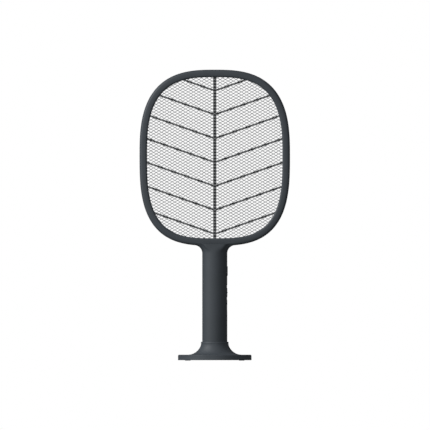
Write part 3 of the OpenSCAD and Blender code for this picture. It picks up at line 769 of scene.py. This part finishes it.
# %% [markdown]
# ## The three nets
#
# Each net is a sheet of expanded metal: diamonds 7.6 mm wide and 4.43 mm tall between strands about
# 0.8 mm wide. The outer two are the same sheet as the charged one in the middle. One diamond is made
# first: a four-sided ring, inset by half a strand, with its middle taken out. Two arrays repeat it, and a
# second set fills the gaps between the rows. What lies past the edge is deleted, and the strands that
# cross it are pulled in under the rim, where the real sheet is cut off and clamped.

# %% One diamond, and a sheet of them
DIAMOND_W, DIAMOND_H = 7.6, 4.43
STRAND = 0.8
NET_T = net_hi[1] - net_lo[1]
EDGE_INSET = NET_INSET + 0.15
per_row = 2 * math.ceil(half_w / DIAMOND_W) + 1
per_column = 2 * math.ceil(head_down / DIAMOND_H) + 1


def lattice():
    """A sheet of expanded metal in the plane y = 0, not yet cut to the head's outline."""
    corner = (-(per_row // 2) * DIAMOND_W, 0, head_z - (per_column // 2) * DIAMOND_H)
    bpy.ops.object.select_all(action="DESELECT")
    bpy.ops.mesh.primitive_circle_add(vertices=4, radius=MM / 2, fill_type="NGON",
                                      location=np.array(corner) * MM, rotation=(math.pi / 2, 0, 0))
    sheet = bpy.context.object
    bpy.ops.object.transform_apply(location=True, rotation=True, scale=True)
    edit(sheet)
    bpy.ops.mesh.select_all(action="SELECT")
    bpy.ops.transform.resize(value=(DIAMOND_W, 1, DIAMOND_H), center_override=np.array(corner) * MM)
    bpy.ops.mesh.inset(thickness=STRAND / 2 * MM, use_even_offset=True)
    bpy.ops.mesh.delete(type="FACE")
    bpy.ops.object.mode_set(mode="OBJECT")
    for step, count in (((DIAMOND_W * MM, 0, 0), per_row), ((0, 0, DIAMOND_H * MM), per_column)):
        finish_with(sheet, "ARRAY", use_relative_offset=False, use_constant_offset=True,
                    constant_offset_displace=step, count=count)
    edit(sheet)
    bpy.ops.mesh.select_all(action="SELECT")
    bpy.ops.mesh.duplicate_move(TRANSFORM_OT_translate={
        "value": (DIAMOND_W / 2 * MM, 0, DIAMOND_H / 2 * MM)})
    bpy.ops.mesh.select_all(action="SELECT")
    bpy.ops.mesh.remove_doubles(threshold=0.02 * MM)
    return sheet


def cut_to_outline(sheet):
    """Delete what lies outside the net's edge, and pull the crossing strands in to it."""
    mesh = bmesh.from_edit_mesh(sheet.data)
    depth = {v.index: inset_of(v.co.x / MM, v.co.z / MM) for v in mesh.verts}
    select_where(sheet, "FACE", lambda f: all(depth[v.index] < EDGE_INSET for v in f.verts))
    bpy.ops.mesh.delete(type="FACE")
    mesh = bmesh.from_edit_mesh(sheet.data)
    for vertex in mesh.verts:
        x, z = vertex.co.x / MM, vertex.co.z / MM
        if inset_of(x, z) < EDGE_INSET:
            (x, z), _ = outline(math.atan2(z - head_z, x), EDGE_INSET)
            vertex.co = (x * MM, 0, z * MM)
    bmesh.update_edit_mesh(sheet.data)
    bpy.ops.mesh.select_all(action="SELECT")
    bpy.ops.mesh.remove_doubles(threshold=0.02 * MM)
    bpy.ops.mesh.dissolve_degenerate(threshold=0.01 * MM)
    bpy.ops.object.mode_set(mode="OBJECT")
    return sheet


flat_net = cut_to_outline(lattice())
print(len(flat_net.data.polygons), "strand faces in one flat sheet")

# %% [markdown]
# The three nets are the same sheet at three depths, so the pattern is made once and copied. The strands
# get their thickness from Solidify first, which keeps it equal on both faces.

# %% Three nets from the one sheet
finish_with(flat_net, "SOLIDIFY", thickness=NET_T * MM, offset=0)
for node_name in ("front_net", "high_voltage_net", "rear_net"):
    lo, hi = node_box(node_name)
    only(flat_net)
    bpy.ops.object.duplicate()
    net = bpy.context.object
    bpy.ops.transform.translate(value=(0, (lo[1] + hi[1]) / 2 * MM, 0))
    done(net, node_name + "_lattice", 40)
    hand_over(net, net_metal, "swatter", node_name)
bpy.data.objects.remove(flat_net)

# %% [markdown]
# ## The skeletons that keep the nets apart
#
# Between the nets lie two black mouldings: an edge ring, an upright middle rib and seven pairs of side
# ribs that rise outwards like the veins of a leaf. A rib is a block with its long edges rounded. One is
# made and turned for each side, and a boolean then melts them all into the ring, as they are one
# moulding.

# %% A rib
RIB_W = 4.5
SIDE_RIB_W = 2.7
SLOPE = math.radians(19.2)
PITCH = 34.1
TOP_RIB = 92.6
PAIRS = 7
RING_W = 2.9
INTO_RING = 1.0
REACH_STEP = 0.5
RIB_SOFTNESS = 0.2


def rib(y0, y1, width, start, length, angle):
    """A rounded bar from a point (x, z), running at an angle above the horizontal."""
    bar = block((0, y0, -width / 2), (length, y1, width / 2))
    round_edges(bar, lambda e: runs_along(e, 0), min(width, y1 - y0) * RIB_SOFTNESS, 2)
    edit(bar)
    bpy.ops.mesh.select_all(action="SELECT")
    mesh = bmesh.from_edit_mesh(bar.data)
    turn = np.array([math.cos(angle), math.sin(angle)])
    for vertex in mesh.verts:
        x, z = vertex.co.x, vertex.co.z
        vertex.co.x = start[0] * MM + x * turn[0] - z * turn[1]
        vertex.co.z = start[1] * MM + x * turn[1] + z * turn[0]
    bmesh.update_edit_mesh(bar.data)
    bpy.ops.object.mode_set(mode="OBJECT")
    return bar


def reach(start, angle):
    """How far a rib runs from the middle until it is well inside the ring."""
    length = 1.0
    turn = np.array([math.cos(angle), math.sin(angle)])
    while inset_of(*(start + length * turn)) > NET_INSET + INTO_RING:
        length += REACH_STEP
    return length


print(f"{PAIRS} pairs of side ribs, {PITCH} apart")

# %% [markdown]
# The ring follows the head's outline, so it is grown from a circle by extrusion, as the shell was: four
# rows make a square section, and the last one closes it on the first. The ribs are then melted into it.

# %% The ring and all the ribs as one moulding
def edge_ring(y0, y1):
    """The skeleton's ring, grown from the outline as a closed square section."""
    ring_steps = 144
    turns = even_steps(0, math.tau, ring_steps)[:-1]
    corners = ((NET_INSET + 0.1, y0), (NET_INSET + 0.1, y1), (NET_INSET + RING_W, y1),
               (NET_INSET + RING_W, y0))

    def corner_place(index, corner):
        (x, z), _ = outline(turns[index], corner[0])
        return x, corner[1], z

    bpy.ops.object.select_all(action="DESELECT")
    bpy.ops.mesh.primitive_circle_add(vertices=ring_steps, radius=half_w * MM)
    ring = bpy.context.object
    columns_from(ring)
    place_selected(ring, lambda c: corner_place(c, corners[0]))
    for corner in (*corners[1:], corners[0]):
        extrude_to(ring, lambda c: corner_place(c, corner))
    return face_outwards(ring)


def skeleton(node_name):
    """The ring with its middle rib and side ribs, in the depth of its CAD node."""
    lo, hi = node_box(node_name)
    y0, y1 = lo[1], hi[1]
    moulding = edge_ring(y0, y1)
    bottom = (0, head_low + NET_INSET + INTO_RING)
    upright = rib(y0, y1, RIB_W, bottom, head_top - head_low - 2 * (NET_INSET + INTO_RING), math.pi / 2)
    cut(moulding, upright, "UNION")
    for i in range(PAIRS):
        start = (0, head_z + TOP_RIB - i * PITCH)
        for angle in (SLOPE, math.pi - SLOPE):
            cut(moulding, rib(y0 + 0.1, y1 - 0.1, SIDE_RIB_W, start, reach(start, angle), angle), "UNION")
    return moulding


for node_name in ("front_skeleton", "rear_skeleton"):
    moulding = done(skeleton(node_name), node_name + "_moulding", 35)
    hand_over(moulding, skeleton_abs, "swatter", node_name)

# %% [markdown]
# ## The stand
#
# The stand is one moulding too: a low round plate with a bevelled top edge, and a socket for the handle.
# The socket flares out to the plate in a quarter of an ellipse, wide at the sides and narrower at the
# front and the back. How far it spreads is therefore a function of the direction, and the surface is
# grown row by row from a ring, as the shell was.

# %% Sizes of the stand
cover_r = node_box("stand_cover")[1][0]
plate_r = stand_hi[0]
collar_top = stand_hi[2]
stand_low = stand_lo[2]
COLLAR_WALL = 1.5
SOCKET_GAP = 0.3
STAND_WALL = 2.0
PLATE_T = 7.8
BEVEL = 1.2
FLARE_FRONT = 11.0
FLARE_SIDE = 18.5
FLARE_FROM = math.radians(20)
bore_r = handle_r + SOCKET_GAP
collar_r = bore_r + COLLAR_WALL
plate_top = stand_low + PLATE_T
collar_h = collar_top - plate_top
socket_floor = cap_lo[2] - 0.1
STAND_COLUMNS = 120


def flare_spread(column):
    """How far the flare spreads at a column, least at the front and most at the side."""
    turn = math.tau * column / STAND_COLUMNS
    from_front = math.atan2(abs(math.sin(turn)), abs(math.cos(turn)))
    share = max(0.0, (from_front - FLARE_FROM) / (math.pi / 2 - FLARE_FROM))
    return FLARE_FRONT + (FLARE_SIDE - FLARE_FRONT) * share * share * (3 - 2 * share)


def stand_point(column, radius, z):
    """A point of the stand, its columns counted round from the front."""
    turn = math.tau * column / STAND_COLUMNS
    return radius * math.sin(turn), -radius * math.cos(turn), z


def flare_point(column, angle, inward=0.0):
    """A point of the flare's quarter ellipse: 0 degrees at the plate, 90 up at the collar."""
    spread = flare_spread(column)
    a = math.radians(angle)
    radius = collar_r + spread - (spread + inward) * math.sin(a)
    return stand_point(column, radius, plate_top + collar_h - (collar_h + inward) * math.cos(a))


print(f"the flare spreads {FLARE_FRONT} at the front and {FLARE_SIDE} at the sides")

# %% [markdown]
# The rows go from the plate's lower edge over the bevel and the plate, up the flare and the collar, over
# the collar's rounded lip, and down the socket to its floor. From the same ring the underside is grown
# the other way, one wall thickness inside, up to the same floor. A fine groove runs round the plate
# under its bevel, and another under the collar's lip.

# %% Rows of the outside
LIP_H = 2.9
LIP_R = 0.5
FINE = 0.22
flare_angles = (0, 12, 24, 36, 48, 60, 70, 80, 90)
lip_z = collar_top - LIP_H


def ring_rows(*pairs):
    """Rows that are plain circles, from (radius, z) pairs."""
    return [lambda c, r=r, z=z: stand_point(c, r, z) for r, z in pairs]


edge_z = plate_top - BEVEL - 0.55
plate_rows = ring_rows(
    (plate_r - 0.25, stand_low), (plate_r, stand_low + 0.25), (plate_r, edge_z - FINE),
    (plate_r - FINE, edge_z), (plate_r - 0.05, edge_z + FINE), (plate_r - 0.05, plate_top - BEVEL),
    (plate_r - 0.12, plate_top - BEVEL + 0.25), (plate_r - BEVEL + 0.3, plate_top - 0.12),
    (plate_r - BEVEL, plate_top), (plate_r - BEVEL - 1.2, plate_top))
flare_rows = [lambda c, a=a: flare_point(c, a) for a in flare_angles]
collar_rows = ring_rows(
    (collar_r, lip_z - FINE), (collar_r - FINE, lip_z), (collar_r, lip_z + FINE),
    (collar_r, collar_top - LIP_R), (collar_r - 0.15, collar_top - 0.15), (collar_r - LIP_R, collar_top),
    (bore_r + LIP_R, collar_top), (bore_r + 0.15, collar_top - 0.15), (bore_r, collar_top - LIP_R),
    (bore_r, socket_floor + 0.6), (bore_r - 0.6, socket_floor))
print(f"plate {2 * plate_r:.0f} across, collar {2 * collar_r:.1f} across and {collar_top:.1f} high")


# %% [markdown]
# The quarter ellipse reaches right up to the collar's top, where the groove and the lip are. So the
# flare's rows are squeezed to stop at the groove.

# %% Grow the stand
def squeezed(place):
    """The flare's row with its height squeezed to end under the groove."""
    def lower(column):
        x, y, z = place(column)
        share = max(0.0, (z - plate_top) / collar_h)
        return x, y, z - share ** 3 * (LIP_H + 2 * FINE)
    return lower


def grow_stand():
    """The stand's moulding, from its lower edge over the outside and back under to the floor."""
    bpy.ops.object.select_all(action="DESELECT")
    bpy.ops.mesh.primitive_circle_add(vertices=STAND_COLUMNS, radius=plate_r * MM)
    stand = bpy.context.object
    columns_from(stand)
    place_selected(stand, plate_rows[0])
    for place in (*plate_rows[1:], *map(squeezed, flare_rows), *collar_rows):
        extrude_to(stand, place)
    bpy.ops.mesh.merge(type="CENTER")
    select_where(stand, "EDGE", lambda e: e.is_boundary)
    inner_r = cover_r + 0.15
    tube_r = bore_r + COLLAR_WALL
    under = [lambda c, a=a: flare_point(c, a, STAND_WALL) for a in (0, 24, 48, 66)]
    under_rows = (*ring_rows((inner_r, stand_low), (inner_r, plate_top - STAND_WALL)), *under,
                  *ring_rows((tube_r, plate_top - STAND_WALL + 0.1), (tube_r, socket_floor - STAND_WALL)))
    for place in under_rows:
        extrude_to(stand, place)
    bpy.ops.mesh.merge(type="CENTER")
    return face_outwards(stand)


stand = done(grow_stand(), "stand_moulding", 32)
hand_over(stand, stand_abs_painted_lighter, "stand", "stand_shell")

# %% [markdown]
# ## The controls
#
# The press button is a pill-shaped key. Its top follows the handle's round side and stands a little
# proud of it, with soft edges. The slide switch's knob is a flat block, also bent to the handle, with one
# cross ridge for the thumb, on a thin plate that covers the window from inside wherever it stands.

# %% The press button
BUTTON_PROUD = button_hi[0] - handle_r
HANDLE_WALL = 2.2
FLANGE_T = 0.8
FLANGE_WIDER = 1.2
BUTTON_STROKE = 1.3


def trimmed_to_handle(obj, proud):
    """Keep only what lies within a round bar that stands proud of the handle."""
    middle_z = centre_z(obj)
    return cut(obj, rod((0, 0, middle_z), "Z", handle_r + proud, 60, 192), "INTERSECT")


def centre_z(obj):
    """Middle height of an object's mesh, in millimetres."""
    heights = [v.co.z / MM for v in obj.data.vertices]
    return (min(heights) + max(heights)) / 2


def outer_edge(edge, deep=1.3):
    """Whether an edge is part of the rim of a key's top: it lies near the surface and is sharp."""
    x, y, _ = centre(edge)
    return math.hypot(x, y) > handle_r - deep and edge.calc_face_angle(0) > math.radians(50)


def press_key():
    """The press button with its flange and its stem."""
    key = block((button_lo[0] + 0.4, -BUTTON_W / 2, button_z - BUTTON_L / 2),
                (handle_r + 2, BUTTON_W / 2, button_z + BUTTON_L / 2))
    round_edges(key, lambda e: runs_along(e, 0), BUTTON_W / 2 - 0.02, 10)
    trimmed_to_handle(key, BUTTON_PROUD)
    round_edges(key, outer_edge, 0.45, 4)
    flange_x = handle_r - HANDLE_WALL - BUTTON_STROKE - FLANGE_T
    half_w, half_l = BUTTON_W / 2 + FLANGE_WIDER, BUTTON_L / 2 + FLANGE_WIDER
    flange = block((flange_x, -half_w, button_z - half_l), (flange_x + FLANGE_T, half_w, button_z + half_l))
    round_edges(flange, lambda e: runs_along(e, 0), half_w - 0.2, 8)
    cut(key, flange, "UNION")
    return key


button = done(press_key(), "press_button_key", 35)
hand_over(button, control_abs, "press_button", "press_button")
print(f"the button stands {BUTTON_PROUD:.2f} proud")

# %% [markdown]
# The knob is made like the button. It is smaller and is meant to be felt, so the ridge stands up for the
# thumb while the rest lies almost flush.

# %% The slide switch's knob
KNOB_L = 12.5
KNOB_PROUD = 0.12
RIDGE_PROUD = knob_hi[0] - handle_r
PLATE_GAP = 0.7


def slide_key():
    """The slide switch's knob with its ridge and its cover plate."""
    half = WINDOW_W / 2 - PLAY
    knob = block((knob_lo[0] + 1, -half, slide_z - KNOB_L / 2), (handle_r + 2, half, slide_z + KNOB_L / 2))
    round_edges(knob, lambda e: runs_along(e, 0), 0.9, 4)
    trimmed_to_handle(knob, KNOB_PROUD)
    round_edges(knob, outer_edge, 0.3, 3)
    ridge = block((handle_r - 2, -half + 0.5, slide_z - 0.8), (handle_r + 2, half - 0.5, slide_z + 0.8))
    trimmed_to_handle(ridge, RIDGE_PROUD)
    round_edges(ridge, lambda e: outer_edge(e, 0.9), 0.3, 3)
    cut(knob, ridge, "UNION")
    plate_x = handle_r - HANDLE_WALL - PLATE_GAP - FLANGE_T
    plate = block((plate_x, -WINDOW_W / 2 - 0.8, knob_lo[2]),
                  (plate_x + FLANGE_T, WINDOW_W / 2 + 0.8, knob_hi[2]))
    round_edges(plate, lambda e: runs_along(e, 0), 0.8, 3)
    cut(knob, plate, "UNION")
    return knob


knob = done(slide_key(), "slide_knob_key", 35)
hand_over(knob, control_abs, "slide_knob", "slide_knob")
print(f"the knob's ridge stands {RIDGE_PROUD:.2f} proud")

# %% [markdown]
# ## Screws
#
# All the screws have a shallow domed head with a cross recess. The head is a short rod whose top edge is
# rounded, and the recess is a cross of two thin blocks, cut in. Each screw is placed where its recess is.

# %% One screw, and the copies of it
CROSS_ARM, CROSS_W, CROSS_DEEP = 0.29, 0.08, 0.55


def screw_at(x, y_seat, z, head_d, head_h, thread_d, length):
    """A cross-recess screw whose head sits on y_seat, driven in from behind."""
    screw = rod((x, y_seat + head_h / 2, z), "Y", head_d / 2, head_h, 32)
    round_edges(screw, lambda e: centre(e)[1] > y_seat + head_h - 0.01, head_h * 0.45, 3)
    cut(screw, rod((x, y_seat - length / 2 + 0.1, z), "Y", thread_d / 2, length, 16), "UNION")
    arm, slot_w, deep = head_d * CROSS_ARM, head_d * CROSS_W, head_h * CROSS_DEEP
    for across, along in ((arm, slot_w), (slot_w, arm)):
        cut(screw, block((x - across, y_seat + head_h - deep, z - along),
                         (x + across, y_seat + head_h + 1, z + along)))
    return screw


def group(screws, name, node_name, body):
    """Join a set of screws as one piece that stands for a node."""
    only(screws[0])
    for screw in screws:
        screw.select_set(True)
    bpy.ops.object.join()
    piece = done(screws[0], name, 35)
    hand_over(piece, screw_steel, body, node_name)


rim_seat = rim_half - RIM_SINK
rim_length = rim_seat - node_box("rim_screws")[0][1]
handle_length = handle_seat - handle_screws_lo[1]
group([screw_at(x, rim_seat, z, RIM_HEAD_D, RIM_HEAD_H, RIM_THREAD_D, rim_length)
       for x, z in rim_screw_places], "rim_screws_cross", "rim_screws", "swatter")
group([screw_at(0, handle_seat, z, HANDLE_HEAD_D, HANDLE_HEAD_H, HANDLE_THREAD_D, handle_length)
       for z in handle_screw_heights],
      "handle_screws_cross", "handle_screws", "swatter")

# %% [markdown]
# ## The end cap
#
# The cap closes the handle's lower end: a disc with a soft lower edge, a fine chamfer at the joint, and a
# short tube that plugs into the shells. It is out of sight until the swatter is lifted from its stand.

# %% The end cap
SPIGOT_GAP = 0.1
SPIGOT_WALL = 1.6
CAP_ROUND = 1.0


def end_cap():
    """A disc with a rounded rim, a chamfered joint and a hollow spigot."""
    disc_top = shell_low
    cap = rod((0, 0, (cap_lo[2] + disc_top) / 2), "Z", handle_r, disc_top - cap_lo[2], 96)
    round_edges(cap, lambda e: centre(e)[2] < cap_lo[2] + 0.01, CAP_ROUND, 4)
    round_edges(cap, lambda e: centre(e)[2] > disc_top - 0.01, GROOVE, 1)
    edit(cap)
    select_where(cap, "FACE", lambda f: f.normal.z > 0.99)
    spigot_r = handle_r - HANDLE_WALL - SPIGOT_GAP
    bpy.ops.mesh.inset(thickness=(handle_r - GROOVE - spigot_r) * MM)
    bpy.ops.mesh.extrude_region_move(TRANSFORM_OT_translate={"value": (0, 0, (cap_hi[2] - disc_top) * MM)})
    bpy.ops.mesh.inset(thickness=SPIGOT_WALL * MM)
    bpy.ops.mesh.extrude_region_move(TRANSFORM_OT_translate={"value": (0, 0, (disc_top - cap_hi[2]) * MM)})
    bpy.ops.object.mode_set(mode="OBJECT")
    return cap


cap = done(end_cap(), "handle_end_cap_moulding", 35)
hand_over(cap, cap_abs, "swatter", "handle_end_cap")

# %% [markdown]
# ## Finishes for the CAD nodes that stay
#
# The pieces inside the casings keep their CAD shapes, and each gets the finish of its own material. The
# record names a material slot for every node, so the finish is looked up by the slot's name.

# %% Dress the nodes that keep their shape
finishes = {
    "weight_steel": weight_iron, "screw_steel": screw_steel, "foot_rubber": foot_rubber,
    "cover_plastic": cover_abs, "cell_sleeve": cell_sleeve, "tab_nickel": tab_nickel,
    "lead_insulation": lead_silicone, "board_laminate": board_mask, "core_ferrite": core_ferrite,
    "winding_copper": winding_copper, "capacitor_film": film_epoxy, "component_black": moulded_epoxy,
    "resistor_coat": resistor_lacquer, "switch_metal": switch_steel, "lens_clear": lens_acrylic,
    "lamp_resin": lamp_resin, "shell_plastic": shell_abs, "stand_plastic": stand_abs_painted_lighter,
    "cap_plastic": cap_abs, "control_plastic": control_abs, "net_metal": net_metal,
    "skeleton_plastic": skeleton_abs}
for name, obj in nodes.items():
    for slot in obj.material_slots:
        key = next((k for k in finishes if slot.material and k in slot.material.name), None)
        if key is None:
            print("no finish for", name, slot.material and slot.material.name)
        else:
            slot.material = finishes[key]

# %% [markdown]
# ## Floor, light and camera
#
# The object stands on a plain white floor in a white studio. The key light is large and comes from the
# upper left, so the handle shades evenly from left to right, and the far side stays dark. The camera
# looks straight at the front. It draws without perspective, as a very long lens does, so the three nets
# lie exactly behind one another.

# %% Floor and studio light
bpy.ops.object.select_all(action="DESELECT")
bpy.ops.mesh.primitive_plane_add(size=12, location=(0, 0, 0))
floor = bpy.context.object
floor.name = "studio_floor"
floor.visible_diffuse = False
floor.visible_glossy = False
white = surface("studio floor, matt white", ("#fbfbfb", "#ffffff"), 400, 5, 0.01, (0.85, 0.95))
wear(floor, white)


def studio_world():
    """A white room that the camera sees, lit by one wide soft glow from the upper left front."""
    room = bpy.data.worlds.new("white studio")
    room.use_nodes = True
    tree = room.node_tree
    direction = add_node(tree, "ShaderNodeTexCoord").outputs["Generated"]
    toward = add_node(tree, "ShaderNodeVectorMath", {0: direction, 1: GLOW_FROM}, operation="DOT_PRODUCT")
    glow = add_node(tree, "ShaderNodeMapRange", {
        "Value": toward.outputs["Value"], "From Min": 0.0, "From Max": 1.0,
        "To Min": DIM, "To Max": DIM + GLOW})
    camera_ray = add_node(tree, "ShaderNodeLightPath").outputs["Is Camera Ray"]
    strength = add_node(tree, "ShaderNodeMix", {
        0: camera_ray, 2: glow.outputs["Result"], 3: 1.0}, data_type="FLOAT")
    background = tree.nodes["Background"]
    background.inputs["Color"].default_value = (1, 1, 1, 1)
    tree.links.new(strength.outputs[0], background.inputs["Strength"])
    bpy.context.scene.world = room


def studio_lamp(name, toward, distance, size, watts):
    """A large square lamp, at a distance in a direction from the middle of the object."""
    lamp = bpy.data.lights.new(name, "AREA")
    lamp.size = size
    lamp.energy = watts
    holder = bpy.data.objects.new(name, lamp)
    bpy.context.collection.objects.link(holder)
    away = Vector(toward).normalized()
    holder.location = Vector((0, 0, head_low * MM)) + away * distance
    holder.rotation_mode = "QUATERNION"
    holder.rotation_quaternion = (-away).to_track_quat("-Z", "Y")


DIM = 0.10
GLOW = 0.52
GLOW_FROM = (-0.58, -0.70, 0.42)
studio_world()
studio_lamp("key light", (-0.76, -0.40, 0.50), 2.5, 1.2, 27)
print("floor, room and lamp")

# %% [markdown]
# The camera is set in a given place and has no perspective: its width alone sets how large the swatter is
# in the frame. The colours are shown as they are, with no filmic curve, because the floor has to stay
# white.

# %% The camera
VIEW_W = 0.6143
VIEW_FROM = (0.00033, -3.0, 0.208)
camera = bpy.data.cameras.new("front camera")
camera.type = "ORTHO"
camera.ortho_scale = VIEW_W
camera_holder = bpy.data.objects.new("front camera", camera)
bpy.context.collection.objects.link(camera_holder)
camera_holder.location = VIEW_FROM
camera_holder.rotation_euler = (math.pi / 2, 0, 0)
bpy.context.scene.camera = camera_holder
bpy.context.scene.view_settings.view_transform = "Standard"
print("camera set")
